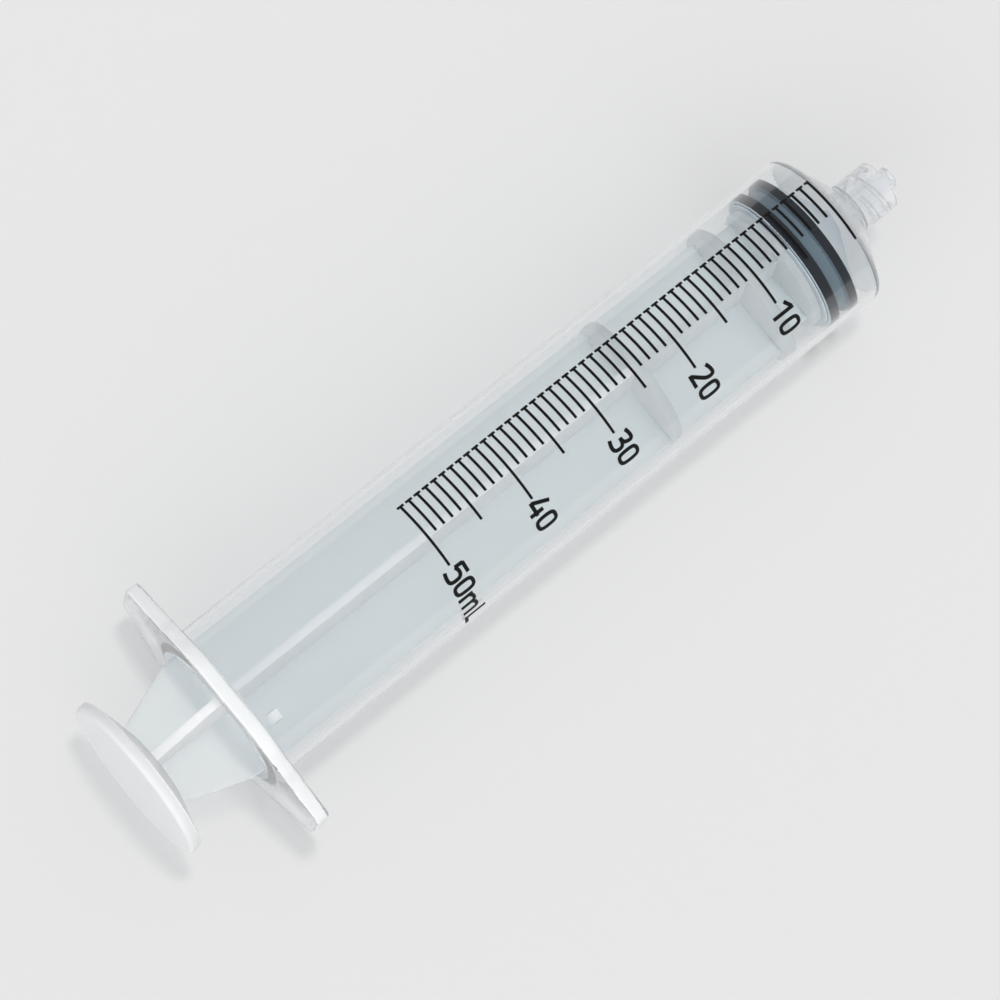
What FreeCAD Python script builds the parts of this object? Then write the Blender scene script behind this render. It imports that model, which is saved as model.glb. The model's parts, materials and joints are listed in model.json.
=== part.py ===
import FreeCAD, Part
import math
import os

# 50 mL three-piece syringe with a lock tip, in millimetres.
# +X runs along the syringe's axis to the nozzle, +Z is up and the finger wings lie along Y.
# The origin is the centre of the nozzle's mouth.

# Bore and graduation
bore_diameter = 26.72           # what sets the spacing of the lines: 1 mL is 1.783 mm long
line_count = 50                 # mL lines past the zero line
reading_ml = 2.17               # what the plunger's front seal edge points at, as photographed
zero_line_setback = 0.73        # zero line, behind the corner of the shoulder
line_width = 0.48
ink_thickness = 0.05
line_start_deg = -27.8          # from the top, positive towards the -Y wing
short_line_deg = 29.0
five_line_deg = 42.0
ten_line_deg = 52.5
dash_length = 1.36              # the dash at the start of each line, along the axis

# Barrel tube and shoulder
barrel_wall = 1.14
barrel_length = 133.78          # flange's rear face to the corner of the shoulder
shoulder_rise_deg = 28.4        # how far the shoulder leans forward from square
shoulder_wall = 1.0
shoulder_round = 0.8
mouth_lead_in = 0.5

# Nozzle: male cone of 6 % taper inside a lock collar
cone_mouth_diameter = 3.95
cone_taper = 0.06
cone_bore_diameter = 2.1
cone_projection = 2.3           # how far the cone stands out of its collar
collar_length = 7.5
collar_root_diameter = 9.4
collar_end_diameter = 9.2
collar_bore_diameter = 8.0
collar_floor = 0.9
collar_root_round = 0.5

# Lock thread inside the collar: double start, right hand
thread_lead = 5.0
thread_starts = 2
thread_height = 0.5             # inwards from the collar's bore
thread_crest_width = 0.45
thread_flank_run = 0.3          # how much wider the thread is on each side at its root
thread_setback = 0.45           # from the collar's mouth
thread_floor_gap = 0.5

# Finger flange
flange_thickness = 2.7
flange_half_length = 25.0
flange_half_depth = 16.2
flange_flat_half = 7.5          # half of the straight stretch of the long side
wing_tip_half_depth = 5.4
wing_sweep = 1.0                # how far the tips bend forward
wing_corner_round = 10.0
wing_tip_round = 2.6
flange_edge_round = 0.6
flange_root_round = 0.9

# Bumps inside the mouth that keep the plunger from being pulled out
bump_setback = 2.9              # bump's centre, in front of the flange's front face
bump_height = 0.4
bump_top_length = 0.9           # along the axis
bump_side_run = 1.8             # how far its sides run out, per mm of depth
bump_top_round = 0.8
bump_sweep_deg = 9.0
bump_angle_deg = 32.2           # bump's middle, from the top towards the -Y wing
bump_count = 2

# Stopper
seal_clearance = 0.08           # all round, between a sealing ring and the bore
front_ring_width = 1.6
ring_groove_width = 2.3
rear_ring_width = 2.0
ring_round = 0.3
groove_depth = 1.1
nose_edge_drop = 0.5            # nose's rim, inside the sealing rings
nose_step = 0.22
nose_tip_radius = 1.9
skirt_length = 0.35
skirt_drop = 0.7
hollow_mouth_length = 1.3
hollow_length = 4.9
hollow_wall_to_button = 0.3

# Plunger rod
fin_half_width = 11.9
fin_edge_thickness = 1.5
fin_root_thickness = 1.9
fin_taper_setback = 1.2         # where the fins start to narrow, behind the flange's rear face
fin_root_half_width = 6.97      # at the thumb disc's rim
fin_taper_overrun = 2.0         # how far past the fins' edge their taper would come down to the edge's thickness
fin_corner_round = 4.0
rod_turn_deg = -2.2             # how the free-turning rod stands in the barrel, as photographed
neck_fin_half_width = 10.2      # between the stop web and the head
stop_web_radius = 13.05
stop_web_thickness = 1.8
stop_web_setback = 7.0          # stop web's front face, behind the head's front face
middle_web_radius = 12.3
middle_web_thickness = 1.7
middle_web_setback = 31.6       # middle web's front face, behind the head's front face
head_radius = 11.6
head_thickness = 1.5
head_gap = 0.3                  # head to the stopper's rear face
neck_radius = 3.7
neck_clearance = 0.1            # all round, between the neck and the stopper's mouth
button_radius = 5.0
button_height = 3.2
button_shoulder_gap = 0.3
button_tip_radius = 3.0
ejector_mark_radius = 1.2
ejector_mark_depth = 0.25
ejector_mark_reach = 10.4       # from the axis
ejector_mark_setback = 2.2      # behind the middle web

# Thumb disc
disc_radius = 15.14
disc_setback = 15.26            # disc's front rim, behind the flange's rear face
disc_thickness = 2.1
disc_front_rise = 2.2           # the front swells forward to the fins
disc_front_flat_radius = 7.6
disc_front_round = 0.4
disc_rear_round = 0.9

# Places worked out from the sizes above
bore_radius = bore_diameter / 2
outer_radius = bore_radius + barrel_wall
millilitre = 1000.0 / (math.pi * bore_radius ** 2)
shoulder_slope = math.tan(math.radians(shoulder_rise_deg))
cone_mouth_radius = cone_mouth_diameter / 2
cone_bore_radius = cone_bore_diameter / 2
collar_root_radius = collar_root_diameter / 2
collar_end_radius = collar_end_diameter / 2
collar_bore_radius = collar_bore_diameter / 2
collar_end_x = -cone_projection
collar_root_x = collar_end_x - collar_length
shoulder_x = collar_root_x - (outer_radius - collar_root_radius) * shoulder_slope
flange_rear_x = shoulder_x - barrel_length
flange_front_x = flange_rear_x + flange_thickness
zero_line_x = shoulder_x - zero_line_setback
seal_front_x = zero_line_x - reading_ml * millilitre
seal_radius = bore_radius - seal_clearance
stopper_rear_x = seal_front_x - front_ring_width - ring_groove_width - rear_ring_width - skirt_length
head_front_x = stopper_rear_x - head_gap
head_rear_x = head_front_x - head_thickness
stop_web_x = head_front_x - stop_web_setback
middle_web_x = head_front_x - middle_web_setback
fin_taper_x = flange_rear_x - fin_taper_setback
disc_front_x = flange_rear_x - disc_setback
disc_rear_x = disc_front_x - disc_thickness
hollow_mouth_radius = neck_radius + neck_clearance
hollow_radius = button_radius + hollow_wall_to_button
button_rear_x = stopper_rear_x + hollow_mouth_length + button_shoulder_gap
button_front_x = button_rear_x + button_height
bump_x = flange_front_x + bump_setback
thread_root_bury = 0.2          # how far the thread's root reaches into the collar's wall
beyond = 5.0                    # how far a cutting body reaches past what it cuts

axis_start = FreeCAD.Vector(0, 0, 0)
along_axis = FreeCAD.Vector(1, 0, 0)
sideways = FreeCAD.Vector(0, 1, 0)
upwards = FreeCAD.Vector(0, 0, 1)


# A closed outline of straight runs. Each corner is (p, q, radius), and a radius above zero is
# a tangent arc. place turns (p, q) into a point of the plane that the outline lies in.
def rounded_outline(corners, place):
    runs = []
    for i, (p, q, radius) in enumerate(corners):
        here = place(p, q)
        if radius <= 0:
            runs.append((here, None, here))
            continue
        back = (place(*corners[i - 1][:2]) - here).normalize()
        ahead = (place(*corners[(i + 1) % len(corners)][:2]) - here).normalize()
        half_turn = back.getAngle(ahead) / 2
        reach = radius / math.tan(half_turn)
        inward = (back + ahead).normalize()
        middle = here + inward * (radius / math.sin(half_turn) - radius)
        runs.append((here + back * reach, middle, here + ahead * reach))
    edges = []
    for i, (start, middle, end) in enumerate(runs):
        if middle is not None:
            edges.append(Part.Arc(start, middle, end).toShape())
        following = runs[(i + 1) % len(runs)][0]
        if (following - end).Length > 1e-6:
            edges.append(Part.LineSegment(end, following).toShape())
    return Part.Wire(edges)


def in_xy(p, q):
    return FreeCAD.Vector(p, q, 0)


def in_xz(p, q):
    return FreeCAD.Vector(p, 0, q)


def in_yz(p, q):
    return FreeCAD.Vector(0, p, q)


# A solid turned about the syringe's axis from corners of (x, radius, rounding)
def turned(corners):
    profile = Part.Face(rounded_outline(corners, in_xy))
    return profile.revolve(axis_start, along_axis, 360)


# A round disc between two places along the axis
def disc_between(rear_x, front_x, radius):
    return Part.makeCylinder(radius, front_x - rear_x, FreeCAD.Vector(rear_x, 0, 0), along_axis)


def cone_radius_at(x):
    return cone_mouth_radius - x * cone_taper / 2


# Where the inside of the shoulder lies: the outside of it, moved back by its wall
def shoulder_inside_x(radius):
    outside = shoulder_x + (outer_radius - radius) * shoulder_slope
    return outside - shoulder_wall / math.cos(math.radians(shoulder_rise_deg))


# The turned part of the barrel: tube, shoulder, lock collar and male cone with its bore
def barrel_tube():
    floor_x = collar_root_x + collar_floor
    return turned([
        (flange_rear_x, outer_radius, 0),
        (shoulder_x, outer_radius, shoulder_round),
        (collar_root_x, collar_root_radius, collar_root_round),
        (collar_end_x, collar_end_radius, 0.15),
        (collar_end_x, collar_bore_radius, 0.15),
        (floor_x, collar_bore_radius, 0),
        (floor_x, cone_radius_at(floor_x), 0),
        (0, cone_mouth_radius, 0.1),
        (0, cone_bore_radius, 0),
        (shoulder_inside_x(cone_bore_radius), cone_bore_radius, 0),
        (shoulder_inside_x(bore_radius), bore_radius, 0),
        (flange_rear_x + mouth_lead_in, bore_radius, 0),
        (flange_rear_x, bore_radius + mouth_lead_in, 0),
    ])


# The thread's ridges, each a trapezoid carried along a helix about the syringe's axis
def lock_thread():
    rear_x = collar_root_x + collar_floor + thread_floor_gap
    front_x = collar_end_x - thread_setback
    crest_half = thread_crest_width / 2
    root_half = crest_half + thread_flank_run * (1 + thread_root_bury / thread_height)
    length = front_x - rear_x - 2 * root_half
    root_radius = collar_bore_radius + thread_root_bury
    crest_radius = collar_bore_radius - thread_height
    section = rounded_outline([(root_radius, -root_half, 0), (root_radius, root_half, 0),
                               (crest_radius, crest_half, 0), (crest_radius, -crest_half, 0)], in_xz)
    ridges = []
    for i in range(thread_starts):
        helix = Part.makeHelix(thread_lead, length, collar_bore_radius)
        ridge = Part.Wire(helix.Edges).makePipeShell([section], True, True)
        ridge.rotate(axis_start, upwards, 360.0 * i / thread_starts)
        ridge.rotate(axis_start, sideways, 90)
        ridge.translate(along_axis * (rear_x + root_half))
        ridges.append(ridge)
    return ridges


# The line that the wings' rear or front face follows, seen from above: an arc bent forward
def wing_arc(centre_x, half_length):
    bend = wing_sweep * (half_length / flange_half_length) ** 2
    return Part.Arc(FreeCAD.Vector(centre_x + bend, -half_length, 0),
                    FreeCAD.Vector(centre_x, 0, 0),
                    FreeCAD.Vector(centre_x + bend, half_length, 0)).toShape()


# What lies between two arcs of the wings, or behind the rear one
def swept_slab(rear_x, front_x, half_length, half_depth):
    rear = wing_arc(rear_x, half_length)
    front = wing_arc(front_x, half_length)
    ends = [Part.LineSegment(rear.Vertexes[i].Point, front.Vertexes[i].Point).toShape() for i in (0, 1)]
    face = Part.Face(Part.Wire(Part.__sortEdges__([rear, front] + ends)))
    face.translate(upwards * -half_depth)
    return face.extrude(upwards * (2 * half_depth))


# The finger flange, without its hole: six-sided with round corners, wings bent forward
def flange_plate():
    quarter = [(flange_half_length, wing_tip_half_depth, wing_tip_round),
               (flange_flat_half, flange_half_depth, wing_corner_round)]
    half = quarter + [(-y, z, radius) for y, z, radius in reversed(quarter)]
    corners = half + [(-y, -z, radius) for y, z, radius in half]
    outline = Part.Face(rounded_outline(corners, in_yz))
    outline.translate(along_axis * (flange_rear_x - flange_thickness))
    blank = outline.extrude(along_axis * (flange_thickness * 3 + wing_sweep))
    slab = swept_slab(flange_rear_x, flange_front_x, flange_half_length + beyond, flange_half_depth + beyond)
    plate = slab.common(blank)
    edges = [edge for edge in plate.Edges if edge.BoundBox.XLength < flange_thickness * 0.9]
    return plate.makeFillet(flange_edge_round, edges)


# Bumps on the bore, just inside the mouth
def retention_bumps():
    root_radius = bore_radius + barrel_wall / 2
    top_radius = bore_radius - bump_height
    top_half = bump_top_length / 2
    root_half = top_half + (root_radius - top_radius) * bump_side_run
    section = Part.Face(rounded_outline([
        (bump_x - root_half, root_radius, 0), (bump_x + root_half, root_radius, 0),
        (bump_x + top_half, top_radius, bump_top_round), (bump_x - top_half, top_radius, bump_top_round),
    ], in_xz))
    bumps = []
    for i in range(bump_count):
        start = bump_angle_deg - bump_sweep_deg / 2 + 360.0 * i / bump_count
        bump = section.copy()
        bump.rotate(axis_start, along_axis, start)
        bumps.append(bump.revolve(axis_start, along_axis, bump_sweep_deg))
    return bumps


# The edge where the flange's front face meets the tube, which gets a fillet
def flange_root_edges(shape):
    found = []
    for edge in shape.Edges:
        box = edge.BoundBox
        radii = [math.hypot(v.Y, v.Z) for v in edge.Vertexes]
        near_front = box.XMin > flange_front_x - 0.1 and box.XMax < flange_front_x + wing_sweep
        if near_front and all(abs(radius - outer_radius) < 0.01 for radius in radii):
            found.append(edge)
    return found


def barrel():
    body = barrel_tube()
    hole = disc_between(flange_rear_x - beyond, flange_front_x + wing_sweep + beyond, bore_radius)
    body = body.fuse(flange_plate().cut(hole))
    behind = swept_slab(flange_rear_x - beyond, flange_rear_x, flange_half_length + beyond,
                        flange_half_depth + beyond)
    body = body.cut(behind).removeSplitter()
    body = body.makeFillet(flange_root_round, flange_root_edges(body))
    return body.fuse(retention_bumps() + lock_thread())


def stopper():
    front_ring_rear = seal_front_x - front_ring_width
    rear_ring_front = front_ring_rear - ring_groove_width
    rear_ring_rear = rear_ring_front - rear_ring_width
    groove_radius = seal_radius - groove_depth
    skirt_radius = seal_radius - skirt_drop
    nose_edge_radius = seal_radius - nose_edge_drop
    nose_edge_x = seal_front_x + nose_step
    nose_tip_x = nose_edge_x + (nose_edge_radius - nose_tip_radius) * shoulder_slope
    hollow_rear_x = stopper_rear_x + hollow_mouth_length
    hollow_front_x = stopper_rear_x + hollow_length
    return turned([
        (stopper_rear_x, hollow_mouth_radius, 0),
        (stopper_rear_x, skirt_radius, 0.3),
        (rear_ring_rear, skirt_radius, 0),
        (rear_ring_rear, seal_radius, ring_round),
        (rear_ring_front, seal_radius, ring_round),
        (rear_ring_front, groove_radius, 0.3),
        (front_ring_rear, groove_radius, 0.3),
        (front_ring_rear, seal_radius, ring_round),
        (seal_front_x, seal_radius, 0.2),
        (nose_edge_x, nose_edge_radius, 0),
        (nose_tip_x, nose_tip_radius, 0),
        (nose_tip_x, 0, 0),
        (hollow_front_x, 0, 0),
        (hollow_front_x, hollow_radius - 1.0, 0),
        (hollow_rear_x + 1.0, hollow_radius, 0),
        (hollow_rear_x, hollow_radius, 0),
        (hollow_rear_x, hollow_mouth_radius, 0),
    ])


# One pair of fins seen from its side, narrowing to the thumb disc
def fin_outline():
    upper = [(head_rear_x, neck_fin_half_width, 0),
             (stop_web_x - stop_web_thickness, neck_fin_half_width, 0),
             (stop_web_x - stop_web_thickness, fin_half_width, 0),
             (fin_taper_x, fin_half_width, fin_corner_round),
             (disc_front_x, fin_root_half_width, 0)]
    return upper + [(x, -across, radius) for x, across, radius in reversed(upper)]


# The fins' section: thicker at the axis than at the edge
def fin_section():
    edge = fin_edge_thickness / 2
    root = fin_root_thickness / 2
    reach = fin_half_width + fin_taper_overrun
    return [(reach, -edge, 0), (reach, edge, 0), (0, root, 0),
            (-reach, edge, 0), (-reach, -edge, 0), (0, -root, 0)]


def fin_pair():
    side = Part.Face(rounded_outline(fin_outline(), in_xy))
    side.translate(upwards * -fin_root_thickness)
    section = Part.Face(rounded_outline(fin_section(), in_yz))
    section.translate(along_axis * (disc_front_x - beyond))
    length = head_rear_x - disc_front_x + 2 * beyond
    return side.extrude(upwards * (2 * fin_root_thickness)).common(section.extrude(along_axis * length))


# The head behind the stopper, the neck through its mouth and the button inside it
def head_and_button():
    return turned([
        (head_rear_x, 0, 0),
        (head_rear_x, head_radius, 0),
        (head_front_x, head_radius, 0),
        (head_front_x, neck_radius, 0),
        (button_rear_x, neck_radius, 0),
        (button_rear_x, button_radius, 0),
        (button_rear_x + 0.8, button_radius, 0),
        (button_front_x, button_tip_radius, 0),
        (button_front_x, 0, 0),
    ])


def thumb_disc():
    return turned([
        (disc_rear_x, 0, 0),
        (disc_rear_x, disc_radius, disc_rear_round),
        (disc_front_x, disc_radius, disc_front_round),
        (disc_front_x + disc_front_rise, disc_front_flat_radius, 0),
        (disc_front_x + disc_front_rise, 0, 0),
    ])


# Round marks that the ejector pins leave on the flat pair of fins
def ejector_marks():
    x = middle_web_x - middle_web_thickness - ejector_mark_setback
    marks = []
    for side in (-1, 1):
        floor = FreeCAD.Vector(x, side * ejector_mark_reach, fin_edge_thickness / 2 - ejector_mark_depth + 0.05)
        marks.append(Part.makeCylinder(ejector_mark_radius, fin_root_thickness, floor, upwards))
    return marks


def plunger_rod():
    flat_fins = fin_pair()
    upright_fins = flat_fins.copy()
    upright_fins.rotate(axis_start, along_axis, 90)
    webs = [disc_between(stop_web_x - stop_web_thickness, stop_web_x, stop_web_radius),
            disc_between(middle_web_x - middle_web_thickness, middle_web_x, middle_web_radius)]
    body = flat_fins.fuse([upright_fins] + webs + [head_and_button(), thumb_disc()])
    body = body.removeSplitter().cut(ejector_marks())
    body.rotate(axis_start, along_axis, rod_turn_deg)
    return body


# A patch of ink on the tube, between two places along the axis and two angles from the top
def ink_patch(rear_x, front_x, start_deg, sweep_deg):
    corners = [(rear_x, outer_radius, 0), (front_x, outer_radius, 0),
               (front_x, outer_radius + ink_thickness, 0), (rear_x, outer_radius + ink_thickness, 0)]
    patch = Part.Face(rounded_outline(corners, in_xz))
    patch.rotate(axis_start, along_axis, start_deg)
    return patch.revolve(axis_start, along_axis, sweep_deg)


# One line of the graduation with its dash, where the line stands for so many mL
def graduation_line(ml):
    if ml % 10 == 0:
        sweep = ten_line_deg
    elif ml % 5 == 0:
        sweep = five_line_deg
    else:
        sweep = short_line_deg
    x = zero_line_x - ml * millilitre
    half_line = line_width / 2
    dash_sweep = math.degrees(line_width / outer_radius)
    line = ink_patch(x - half_line, x + half_line, line_start_deg, sweep)
    dash_front = half_line if ml == 0 else dash_length / 2
    dash = ink_patch(x - dash_length / 2, x + dash_front, line_start_deg, dash_sweep)
    return line.fuse(dash).removeSplitter()


def scale_print():
    return Part.makeCompound([graduation_line(ml) for ml in range(line_count + 1)])


pieces = {
    "barrel": barrel(),
    "plunger_rod": plunger_rod(),
    "stopper": stopper(),
    "scale_print": scale_print(),
}

os.makedirs("parts", exist_ok=True)
for name, shape in pieces.items():
    shape.exportStep("parts/" + name + ".step")
    box = shape.BoundBox
    print(name, "solids", len(shape.Solids), "valid", shape.isValid(), "volume", round(shape.Volume, 1),
          "x", round(box.XMin, 2), round(box.XMax, 2), "y", round(box.YMin, 2), round(box.YMax, 2),
          "z", round(box.ZMin, 2), round(box.ZMax, 2))
print("plunger travel: forward", round(zero_line_x - seal_front_x, 2),
      "back to the bumps' middle", round(stop_web_x - stop_web_thickness - bump_x, 2))
print("tube outside", round(outer_radius, 3), "from", round(flange_front_x + flange_root_round, 2),
      "to", round(shoulder_x, 2))
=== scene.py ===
import bmesh
import bpy
import json
import math
from mathutils import Matrix, Quaternion, Vector


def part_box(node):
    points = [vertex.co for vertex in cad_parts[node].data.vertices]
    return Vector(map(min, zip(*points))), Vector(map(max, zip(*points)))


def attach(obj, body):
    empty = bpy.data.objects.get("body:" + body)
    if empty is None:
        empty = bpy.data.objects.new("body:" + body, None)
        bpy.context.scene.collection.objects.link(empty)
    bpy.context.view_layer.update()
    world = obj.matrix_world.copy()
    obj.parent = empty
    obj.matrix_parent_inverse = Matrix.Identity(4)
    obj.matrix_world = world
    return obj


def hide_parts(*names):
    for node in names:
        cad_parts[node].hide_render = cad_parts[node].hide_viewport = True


mm = 0.001

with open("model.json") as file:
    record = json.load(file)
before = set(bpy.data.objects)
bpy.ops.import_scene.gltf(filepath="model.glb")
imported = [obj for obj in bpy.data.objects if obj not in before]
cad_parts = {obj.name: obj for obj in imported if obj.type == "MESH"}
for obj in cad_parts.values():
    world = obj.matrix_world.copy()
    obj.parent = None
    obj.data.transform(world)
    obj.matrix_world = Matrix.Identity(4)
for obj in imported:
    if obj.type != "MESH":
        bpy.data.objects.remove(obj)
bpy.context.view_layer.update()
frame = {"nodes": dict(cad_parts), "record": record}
print("frame loaded:", sorted(frame["nodes"]))

# What the record says of the tube: its outside, and where it meets the shoulder
tube = next(m for m in frame["record"]["mounts"] if m["name"] == "barrel_body")
tubeRadius = tube["dims"]["r_mm"] * mm
shoulderX = tube["pos_m"][0] + tube["dims"]["length_mm"] * mm / 2


def colourOf(hexText, alpha=1.0):
    # sRGB hex to the linear values that a shader wants
    values = [int(hexText[i:i + 2], 16) / 255 for i in (1, 3, 5)]
    linear = [v / 12.92 if v <= 0.04045 else ((v + 0.055) / 1.055) ** 2.4 for v in values]
    return (*linear, alpha)


def addNode(tree, kind, inputs=None, **settings):
    node = tree.nodes.new(kind)
    for name, value in settings.items():
        setattr(node, name, value)
    for name, value in (inputs or {}).items():
        if isinstance(value, bpy.types.NodeSocket):
            tree.links.new(value, node.inputs[name])
        else:
            node.inputs[name].default_value = value
    return node


def newMaterial(name):
    material = bpy.data.materials.new(name)
    material.use_nodes = True
    material.node_tree.nodes.clear()
    return material


# Materials

def lampsPass(tree, shader, through):
    # lamps and soft light go straight through, so that they reach what lies inside and below
    ray = addNode(tree, "ShaderNodeLightPath")
    soft = addNode(tree, "ShaderNodeMath", {
        0: ray.outputs["Is Shadow Ray"], 1: ray.outputs["Is Diffuse Ray"]}, operation="MAXIMUM")
    clear = addNode(tree, "ShaderNodeBsdfTransparent", {"Color": through})
    return addNode(tree, "ShaderNodeMixShader", {
        0: soft.outputs[0], 1: shader.outputs[0], 2: clear.outputs[0]})


clearPlastic = {
    "colour": "#F9FBFC",
    "roughness": 0.03,
    "ior": 1.49,
    "transmission": 1.0,
    "through": "#F8FAFB",       # what one face of a wall lets past
    "edgeThrough": "#808488",   # the same where light only grazes it, so that the tube's shadow has an edge
    "edgePower": 4.0,
    "rippleSize": 12 * mm,      # slow waves left by the mould's polish
    "rippleHeight": 0.0002 * mm,
}


def makeClearPolypropylene():
    # clarified polypropylene, injection moulded: clear walls with a slow ripple in their shine
    material = newMaterial("clarifiedPolypropyleneMoulded")
    tree = material.node_tree
    place = addNode(tree, "ShaderNodeTexCoord")
    ripple = addNode(tree, "ShaderNodeTexNoise", {
        "Vector": place.outputs["Object"], "Scale": 1 / clearPlastic["rippleSize"], "Detail": 1.0})
    bump = addNode(tree, "ShaderNodeBump", {
        "Height": ripple.outputs["Fac"], "Distance": clearPlastic["rippleHeight"], "Strength": 1.0})
    shader = addNode(tree, "ShaderNodeBsdfPrincipled", {
        "Base Color": colourOf(clearPlastic["colour"]), "Roughness": clearPlastic["roughness"],
        "IOR": clearPlastic["ior"], "Transmission Weight": clearPlastic["transmission"],
        "Normal": bump.outputs["Normal"]})
    graze = addNode(tree, "ShaderNodeLayerWeight", {"Blend": 0.5})
    edge = addNode(tree, "ShaderNodeMath", {
        0: graze.outputs["Facing"], 1: clearPlastic["edgePower"]}, operation="POWER")
    through = addNode(tree, "ShaderNodeMixRGB", {
        "Fac": edge.outputs[0], "Color1": colourOf(clearPlastic["through"]),
        "Color2": colourOf(clearPlastic["edgeThrough"])})
    seen = lampsPass(tree, shader, through.outputs[0])
    addNode(tree, "ShaderNodeOutputMaterial", {"Surface": seen.outputs[0]})
    return material


hazyPlastic = {
    "colour": "#FAFBFC",
    "ior": 1.49,
    "parts": {                  # transmission, roughness, and what one face lets past
        # whiter and less clear: painted glow on the flange's rim faces, where light leaves its edges, and a
        # painted highlight on the bumps in the mouth
        "PaintedGlowAndHighlight": (0.25, 0.25, "#CED2D5"),
        "Thick": (0.75, 0.25, "#CED2D5"),
        "Tip": (0.8, 0.1, "#EEF0F2"),
    },
}


def makeHazyPolypropylene(part, transmission, roughness, through):
    # the same clarified polypropylene where it is thick: it cooled slowly, so it is hazy and white; the
    # copy for the flange's rim faces and the mouth's bumps is whiter still, as painted glow and painted
    # highlight
    material = newMaterial("clarifiedPolypropylene" + part)
    tree = material.node_tree
    shader = addNode(tree, "ShaderNodeBsdfPrincipled", {
        "Base Color": colourOf(hazyPlastic["colour"]), "Roughness": roughness,
        "IOR": hazyPlastic["ior"], "Transmission Weight": transmission})
    seen = lampsPass(tree, shader, colourOf(through))
    addNode(tree, "ShaderNodeOutputMaterial", {"Surface": seen.outputs[0]})
    return material


milkyPlastic = {
    "roughness": 0.34,
    "ior": 1.49,
    "shine": 0.2,
    "scatter": 0.5,             # light carried along inside the plastic
    "scatterReach": 4 * mm,
    "parts": {                  # colour, transmission, and what one face lets past
        "Thin": ("#F5F9F9", 0.6, "#F2F4F5"),
        "Thick": ("#E3E4E6", 0.1, "#D0D4D7"),
        # painted light: whiter, on the fins' edges and sides, the webs and the disc's front
        "PaintedLight": ("#FDFDFE", 0.1, "#F2F4F5"),
    },
}


def makeMilkyPolypropylene(part, colour, transmission, through):
    # natural polypropylene, injection moulded: half clear in thin walls, white where it is thick; a whiter
    # copy is painted light on faces the lamps leave in shade and on edges where light leaves the plastic
    material = newMaterial("naturalPolypropylene" + part)
    tree = material.node_tree
    shader = addNode(tree, "ShaderNodeBsdfPrincipled", {
        "Base Color": colourOf(colour), "Roughness": milkyPlastic["roughness"],
        "IOR": milkyPlastic["ior"], "Transmission Weight": transmission,
        "Specular IOR Level": milkyPlastic["shine"],
        "Subsurface Weight": milkyPlastic["scatter"], "Subsurface Radius": (1, 1, 1),
        "Subsurface Scale": milkyPlastic["scatterReach"]})
    seen = lampsPass(tree, shader, colourOf(through))
    addNode(tree, "ShaderNodeOutputMaterial", {"Surface": seen.outputs[0]})
    return material


rubber = {
    "ior": 1.52,
    "parts": {                  # colour, roughness and shine
        "RingBlack": ("#071320", 0.3, 0.5),
        "GreyBlue": ("#6E7F8A", 0.25, 0.5),
        # near white on both ends: on the nose it is painted sheen of grazing light
        "PaintedSheen": ("#E6ECF0", 0.5, 0.05),
    },
}


def makeStopperRubber(part, colour, roughness, shine):
    # bromobutyl rubber, compression moulded and siliconised: rings black, a lighter grey-blue elsewhere,
    # and both ends near white; on the nose the near white is painted sheen of light grazing it
    material = newMaterial("bromobutylRubber" + part)
    tree = material.node_tree
    shader = addNode(tree, "ShaderNodeBsdfPrincipled", {
        "Base Color": colourOf(colour), "Roughness": roughness, "IOR": rubber["ior"],
        "Specular IOR Level": shine})
    addNode(tree, "ShaderNodeOutputMaterial", {"Surface": shader.outputs["BSDF"]})
    return material


printInk = {
    "colour": "#08080A",
    "roughness": 0.6,
    "ior": 1.45,
}


def makeScaleInk():
    # pad-printed ink: flat black
    material = newMaterial("padPrintedInk")
    tree = material.node_tree
    shader = addNode(tree, "ShaderNodeBsdfPrincipled", {
        "Base Color": colourOf(printInk["colour"]), "Roughness": printInk["roughness"],
        "IOR": printInk["ior"]})
    addNode(tree, "ShaderNodeOutputMaterial", {"Surface": shader.outputs["BSDF"]})
    return material


clearPolypropylene = makeClearPolypropylene()
glowAndHighlightPolypropylene, facePolypropylene, tipPolypropylene = [
    makeHazyPolypropylene(part, *look) for part, look in hazyPlastic["parts"].items()]
finPolypropylene, discPolypropylene, paintedLightPolypropylene = [
    makeMilkyPolypropylene(part, *look) for part, look in milkyPlastic["parts"].items()]
ringRubber, dullRubber, endRubber = [
    makeStopperRubber(part, *look) for part, look in rubber["parts"].items()]
scaleInk = makeScaleInk()
print("materials made")


# Pieces

def addPiece(name, mesh, body, materials):
    piece = bpy.data.objects.new(name, mesh)
    bpy.context.scene.collection.objects.link(piece)
    for material in materials:
        mesh.materials.append(material)
    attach(piece, body)
    return piece


roundWalls = {
    "radii": [tubeRadius, 13.36 * mm],
    "nearness": 0.002 * mm,
    "widest": 12.0,             # degrees between the ends of an edge of one facet
    "narrowest": 1.0,
    "cuts": 3,
}


def roundWall(shape, radius):
    # the long flat facets of one round wall, cut finer and pushed out to the wall's true radius
    def angleOf(vert):
        return math.degrees(math.atan2(vert.co.z, vert.co.y))

    def spanOf(edge):
        span = abs(angleOf(edge.verts[0]) - angleOf(edge.verts[1]))
        return min(span, 360 - span)

    wall = [e for e in shape.edges
            if all(abs(math.hypot(v.co.y, v.co.z) - radius) < roundWalls["nearness"] for v in e.verts)]
    wide = [e for e in wall if roundWalls["narrowest"] < spanOf(e) < roundWalls["widest"]]
    cut = bmesh.ops.subdivide_edges(shape, edges=wide, cuts=roundWalls["cuts"], use_grid_fill=True)
    for vert in [g for g in cut["geom_inner"] if isinstance(g, bmesh.types.BMVert)]:
        across = math.hypot(vert.co.y, vert.co.z)
        vert.co.y *= radius / across
        vert.co.z *= radius / across


skin = {
    "merge": 0.0005 * mm,       # corners nearer than this are one
    "sharpAngle": 25,           # degrees, past which an edge stays crisp
}


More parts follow.
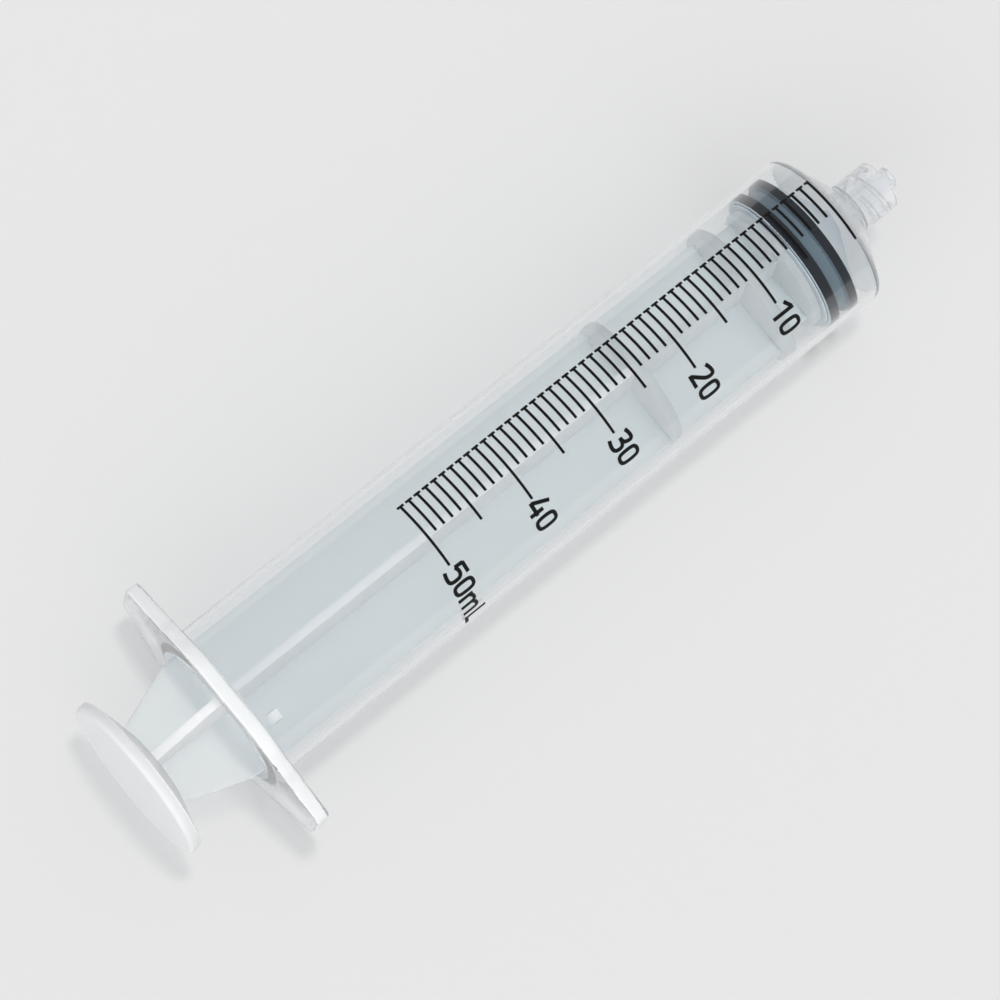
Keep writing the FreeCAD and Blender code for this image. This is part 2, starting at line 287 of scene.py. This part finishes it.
def smoothCopy(node, name, body, materials, zoneOf=None, radii=()):
    # the CAD solid with its loose triangles merged, so that it shades as one skin
    shape = bmesh.new()
    shape.from_mesh(frame["nodes"][node].data)
    bmesh.ops.remove_doubles(shape, verts=shape.verts, dist=skin["merge"])
    for radius in radii:
        roundWall(shape, radius)
    for face in shape.faces:
        face.material_index = zoneOf(face) if zoneOf else 0
    mesh = bpy.data.meshes.new(name)
    shape.to_mesh(mesh)
    shape.free()
    mesh.attributes.remove(mesh.attributes["custom_normal"])     # they belonged to the loose triangles
    mesh.shade_smooth()
    mesh.set_sharp_from_angle(angle=math.radians(skin["sharpAngle"]))
    piece = addPiece(name, mesh, body, materials)
    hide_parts(node)
    return piece


zones = {
    "flangeDepth": 3.1 * mm,    # how far the thick, hazy part reaches in front of the barrel's rear
    "discDepth": 4.3 * mm,      # the same for the thumb disc
    "tipBehindShoulder": 1.4 * mm,      # where the hazier tip begins
    "finEdge": 9 * mm,          # faces that look outwards beyond this are fin edges
    "finSide": 1.5 * mm,        # the upright fins' sides are this near to the middle
    "middleWebRear": -62.2 * mm,
    "ringRadius": 13.13 * mm,   # the stopper's rings' faces lie outside this
    "noseRear": -19.8 * mm,
    "ringsRear": -25.5 * mm,
    "bumpRadius": 13.31 * mm,   # the bumps inside the mouth are within this
    "mouthDepth": 9 * mm,
    "squareOn": 0.8,            # how much a face looks one way, from 0 to 1
    "flangeFace": 0.7,
    "stopperEnd": 0.5,
    "discFront": 0.1,
}
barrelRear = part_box("barrel")[0].x
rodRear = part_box("plunger_rod")[0].x


def lookOf(face):
    # where a face is, how far from the axis, and how much it looks outwards
    centre = face.calc_center_median()
    out = Vector((0, centre.y, centre.z))
    return centre.x, out.length, face.normal.dot(out.normalized()) if out.length > 0 else 0


def barrelZone(face):
    x, radius, outwards = lookOf(face)
    if x > shoulderX - zones["tipBehindShoulder"]:
        return 3
    if x > barrelRear + zones["flangeDepth"]:
        bump = radius < zones["bumpRadius"] and x < barrelRear + zones["mouthDepth"]
        # the bumps get the whiter copy, as a painted highlight
        return 1 if bump else 0
    if radius < tubeRadius and outwards < 0:
        return 0
    # the flange's rim faces get the whiter copy, as painted glow of light leaving its edges; its rear faces
    # get the hazy one
    return 2 if abs(face.normal.x) > zones["flangeFace"] else 1


def rodZone(face):
    x, radius, outwards = lookOf(face)
    if x < rodRear + zones["discDepth"]:
        # the disc's front lies in shade and gets the whiter copy, as painted light
        return 2 if face.normal.x > zones["discFront"] else 1
    edge = x < zones["middleWebRear"] and radius > zones["finEdge"] and outwards > zones["squareOn"]
    side = (abs(face.normal.y) > zones["squareOn"]
            and abs(face.calc_center_median().y) < zones["finSide"])
    web = abs(face.normal.x) > zones["squareOn"]
    # fin edges, fin sides and webs get the whiter copy: painted glow on the edges, and painted light on the
    # sides and webs, which lie in shade
    return 2 if edge or side or web else 0


def stopperZone(face):
    x, radius, outwards = lookOf(face)
    if radius > zones["ringRadius"]:
        return 0
    nose = face.normal.x > zones["stopperEnd"] and x > zones["noseRear"]
    back = face.normal.x < -zones["stopperEnd"] and x < zones["ringsRear"]
    # both ends get the near-white copy; on the nose it is painted sheen
    return 2 if nose or back else 1


barrelMoulding = smoothCopy("barrel", "barrelMoulding", "barrel",
                            [clearPolypropylene, glowAndHighlightPolypropylene, facePolypropylene, tipPolypropylene],
                            barrelZone, roundWalls["radii"])
rodMoulding = smoothCopy("plunger_rod", "rodMoulding", "plunger_rod",
                         [finPolypropylene, discPolypropylene, paintedLightPolypropylene],
                         rodZone)
rubberStopper = smoothCopy("stopper", "rubberStopper", "stopper", [ringRubber, dullRubber, endRubber],
                           stopperZone)
scaleLines = smoothCopy("scale_print", "scaleLines", "barrel", [scaleInk])
scaleLines.visible_shadow = False     # ink this thin leaves no mark in the soft light below
print("mouldings made")

# Each stroke is a smooth line through the space of one figure, in millimetres from its lower left corner
figureStrokes = {
    "0": [[(0.37, 3.3), (0.75, 4.02), (1.96, 4.02), (2.34, 3.3), (2.34, 1.08), (1.96, 0.36), (0.75, 0.36),
           (0.37, 1.08)]],
    "1": [[(1.7, 0.0), (1.7, 4.3)], [(0.12, 3.2), (1.65, 4.08)]],
    "2": [[(0.1, 3.72), (0.75, 4.1), (2.3, 4.3), (2.25, 2.75), (1.4, 1.75), (0.3, 0.5)],
          [(0.0, 0.32), (2.5, 0.32)]],
    "3": [[(0.1, 3.85), (0.8, 4.15), (2.2, 4.2), (2.1, 3.0), (1.6, 2.36), (0.75, 2.36)],
          [(0.75, 2.36), (1.9, 2.36), (2.5, 1.6), (2.2, 0.3), (0.9, 0.2), (0.05, 0.55)]],
    "4": [[(1.45, 4.38), (0.1, 1.35)], [(-0.1, 1.25), (2.55, 1.25)], [(2.0, 2.7), (2.0, 0.0)]],
    "5": [[(0.3, 4.06), (2.45, 4.06)], [(0.42, 4.1), (0.36, 2.45)],
          [(0.36, 2.45), (1.2, 2.95), (2.35, 2.55), (2.45, 1.2), (2.2, 0.25), (0.9, 0.2), (0.05, 0.5)]],
    "m": [[(0.33, 0.0), (0.33, 3.0)], [(0.33, 2.2), (0.75, 2.85), (1.95, 2.95), (2.1, 2.0), (2.1, 0.0)],
          [(2.1, 2.2), (2.5, 2.85), (3.75, 2.95), (3.85, 2.0), (3.85, 0.0)]],
    "L": [[(0.33, 0.32), (0.33, 4.38)], [(0.0, 0.32), (2.2, 0.32)]],
}

numbering = {
    "figures": {10: "10", 20: "20", 30: "30", 40: "40", 50: "50mL"},
    "figureStarts": [0, 3.02, 6.1, 11.1],   # millimetres from the first figure's left side
    "startAngle": 26.7,         # degrees from the top towards the -Y wing
    "footBelowLine": 1.97,      # figures' foot, in millimetres behind the line's middle
    "noughtPoints": 8,          # a stroke of this many points is a closed loop
    "stroke": 0.72,
    "merge": 1e-4,
    "zeroLine": 0.24 * mm,      # from the print's front end to the middle of its first line
    "lastLine": 0.68 * mm,      # the same at its rear end
    "fullScale": 50,            # millilitres from the first line to the last
    "inkThickness": 0.045 * mm,
    "lift": 0.003 * mm,
    "stepAngle": 2.0,           # how often a figure is cut so that it can follow the tube
}


printRear, printFront = [corner.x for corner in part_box("scale_print")]


def scaleLineX(millilitres):
    # the zero and last lines are the ends of the printed scale
    zeroX = printFront - numbering["zeroLine"]
    lastX = printRear + numbering["lastLine"]
    return zeroX + (lastX - zeroX) * millilitres / numbering["fullScale"]


def addStroke(curve, points, left):
    closed = len(points) == numbering["noughtPoints"]
    spline = curve.splines.new("NURBS")
    spline.points.add(len(points) - 1)
    for point, (across, up) in zip(spline.points, points):
        point.co = (left + across, up, 0, 1)
    spline.use_cyclic_u = closed
    spline.order_u = min(3, len(points))
    spline.use_endpoint_u = not closed


def makeFigures(name, text, x):
    curve = bpy.data.curves.new(name, "CURVE")
    curve.dimensions = "3D"
    curve.bevel_depth = numbering["stroke"] / 2
    curve.bevel_resolution = 1
    curve.resolution_u = 6
    curve.use_fill_caps = True
    for letter, left in zip(text, numbering["figureStarts"]):
        for points in figureStrokes[letter]:
            addStroke(curve, points, left)
    drawn = bpy.data.objects.new(name, curve)
    bpy.context.scene.collection.objects.link(drawn)
    bpy.context.view_layer.update()
    mesh = bpy.data.meshes.new_from_object(drawn.evaluated_get(bpy.context.evaluated_depsgraph_get()))
    bpy.data.objects.remove(drawn)
    shape = bmesh.new()
    shape.from_mesh(mesh)
    bmesh.ops.remove_doubles(shape, verts=shape.verts, dist=numbering["merge"])
    flatten = numbering["inkThickness"] / (numbering["stroke"] * mm)
    bmesh.ops.scale(shape, verts=shape.verts, vec=(mm, mm, mm * flatten))
    step = math.radians(numbering["stepAngle"]) * tubeRadius
    width = max(v.co.x for v in shape.verts)
    for i in range(1, int(width / step) + 1):
        bmesh.ops.bisect_plane(shape, geom=shape.verts[:] + shape.edges[:] + shape.faces[:],
                               plane_co=(i * step, 0, 0), plane_no=(1, 0, 0), dist=1e-8)
    foot = x - numbering["footBelowLine"] * mm
    for vert in shape.verts:
        angle = math.radians(numbering["startAngle"]) + vert.co.x / tubeRadius
        radius = tubeRadius + numbering["lift"] + numbering["inkThickness"] / 2 + vert.co.z
        vert.co = Vector((foot + vert.co.y, -radius * math.sin(angle), radius * math.cos(angle)))
    bmesh.ops.recalc_face_normals(shape, faces=shape.faces)
    shape.to_mesh(mesh)
    shape.free()
    figures = addPiece(name, mesh, "barrel", [scaleInk])
    figures.visible_shadow = False


for millilitres, text in numbering["figures"].items():
    makeFigures("figures" + str(millilitres), text, scaleLineX(millilitres))
print("figures printed")


# Floor, lamps and camera

surroundings = {
    "floorColour": "#E6E6E6",
    "matteColour": "#E0E0E0",   # the floor's own paint, under the lamps
    "floorSize": 6.0,
    "seeThroughShare": 0.66,    # how much of the floor's plain tone shows through clear walls, in the shade
    "plainShare": 0.4,          # the same where the camera looks straight at it
    "worldStrength": 0.34,
    "shineStrength": 0.3,       # what the plastic mirrors of the studio
    "lamps": {                  # strength, width in degrees, and where each comes from
        "softSun": (1.55, 7.0, (0.11, 0.08, 1.0)),
        "wideFill": (1.1, 70.0, (-0.4, -0.8, 0.45)),
        "rearFill": (1.1, 50.0, (-1.0, -0.15, 0.3)),
    },
    "flangeFoot": 2.1 * mm,     # where the flange rests, in front of its rear face
    "gap": 0.02 * mm,
}


def makeFloorMaterial():
    material = newMaterial("studioFloor")
    tree = material.node_tree
    ray = addNode(tree, "ShaderNodeLightPath")
    seenThrough = addNode(tree, "ShaderNodeMath", {
        0: ray.outputs["Is Transmission Ray"], 1: ray.outputs["Is Glossy Ray"]}, operation="MAXIMUM")
    through = addNode(tree, "ShaderNodeMath", {
        0: seenThrough.outputs[0], 1: surroundings["seeThroughShare"]}, operation="MULTIPLY")
    share = addNode(tree, "ShaderNodeMath", {
        0: ray.outputs["Is Camera Ray"], 1: surroundings["plainShare"], 2: through.outputs[0]},
        operation="MULTIPLY_ADD")
    matte = addNode(tree, "ShaderNodeBsdfDiffuse", {"Color": colourOf(surroundings["matteColour"])})
    plain = addNode(tree, "ShaderNodeEmission", {
        "Color": colourOf(surroundings["floorColour"]), "Strength": 1.0})
    mixed = addNode(tree, "ShaderNodeMixShader", {
        0: share.outputs[0], 1: matte.outputs[0], 2: plain.outputs[0]})
    addNode(tree, "ShaderNodeOutputMaterial", {"Surface": mixed.outputs[0]})
    return material


def makeFloor():
    # it passes under the flange's flat and the tube's front end, where the syringe rests
    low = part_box("barrel")[0]
    footX = low.x + surroundings["flangeFoot"]
    slope = (-tubeRadius - low.z) / (shoulderX - footX)
    mesh = bpy.data.meshes.new("floor")
    shape = bmesh.new()
    bmesh.ops.create_grid(shape, x_segments=1, y_segments=1, size=surroundings["floorSize"] / 2)
    tilt = Matrix.Rotation(-math.atan(slope), 4, "Y")
    place = Matrix.Translation((footX, 0, low.z - surroundings["gap"]))
    bmesh.ops.transform(shape, matrix=place @ tilt, verts=shape.verts)
    shape.to_mesh(mesh)
    shape.free()
    floor = bpy.data.objects.new("floor", mesh)
    bpy.context.scene.collection.objects.link(floor)
    mesh.materials.append(makeFloorMaterial())


def makeWorld():
    world = bpy.data.worlds.new("studio")
    bpy.context.scene.world = world
    world.use_nodes = True
    tree = world.node_tree
    tree.nodes.clear()
    ray = addNode(tree, "ShaderNodeLightPath")
    plain = addNode(tree, "ShaderNodeBackground", {
        "Color": colourOf(surroundings["floorColour"]), "Strength": 1.0})
    lit = addNode(tree, "ShaderNodeBackground", {
        "Color": (1, 1, 1, 1), "Strength": surroundings["worldStrength"]})
    mirrored = addNode(tree, "ShaderNodeBackground", {
        "Color": (1, 1, 1, 1), "Strength": surroundings["shineStrength"]})
    soft = addNode(tree, "ShaderNodeMixShader", {
        0: ray.outputs["Is Glossy Ray"], 1: lit.outputs[0], 2: mirrored.outputs[0]})
    mixed = addNode(tree, "ShaderNodeMixShader", {
        0: ray.outputs["Is Camera Ray"], 1: soft.outputs[0], 2: plain.outputs[0]})
    addNode(tree, "ShaderNodeOutputWorld", {"Surface": mixed.outputs[0]})


def makeLamp(name, strength, width, comesFrom):
    data = bpy.data.lights.new(name, "SUN")
    data.energy = strength
    data.angle = math.radians(width)
    lamp = bpy.data.objects.new(name, data)
    bpy.context.scene.collection.objects.link(lamp)
    lamp.rotation_mode = "QUATERNION"
    lamp.rotation_quaternion = (-Vector(comesFrom)).to_track_quat("-Z", "Y")
    lamp.visible_glossy = False   # the world alone shines back from the plastic
    lamp.visible_transmission = False


cameraPlace = {
    "aimAt": (-88.437 * mm, -1.557 * mm, 0),
    "distance": 953.5 * mm,
    "azimuth": -66.336,
    "elevation": 76.035,
    "roll": 26.977,
    "lens": 205.7,
    "sensor": 36,
    "near": 0.05,
    "far": 20,
}


def makeCamera():
    data = bpy.data.cameras.new("camera")
    data.lens = cameraPlace["lens"]
    data.sensor_width = cameraPlace["sensor"]
    data.clip_start = cameraPlace["near"]
    data.clip_end = cameraPlace["far"]
    camera = bpy.data.objects.new("camera", data)
    bpy.context.scene.collection.objects.link(camera)
    azimuth = math.radians(cameraPlace["azimuth"])
    elevation = math.radians(cameraPlace["elevation"])
    back = Vector((math.sin(azimuth) * math.cos(elevation), -math.cos(azimuth) * math.cos(elevation),
                   math.sin(elevation)))
    camera.location = Vector(cameraPlace["aimAt"]) + back * cameraPlace["distance"]
    camera.rotation_mode = "QUATERNION"
    roll = Quaternion((0, 0, 1), math.radians(cameraPlace["roll"]))
    camera.rotation_quaternion = (-back).to_track_quat("-Z", "Y") @ roll
    bpy.context.scene.camera = camera


makeFloor()
makeWorld()
for name, (strength, width, comesFrom) in surroundings["lamps"].items():
    makeLamp(name, strength, width, comesFrom)
makeCamera()
bpy.context.scene.view_settings.view_transform = "Standard"
print("floor, lamps and camera set")
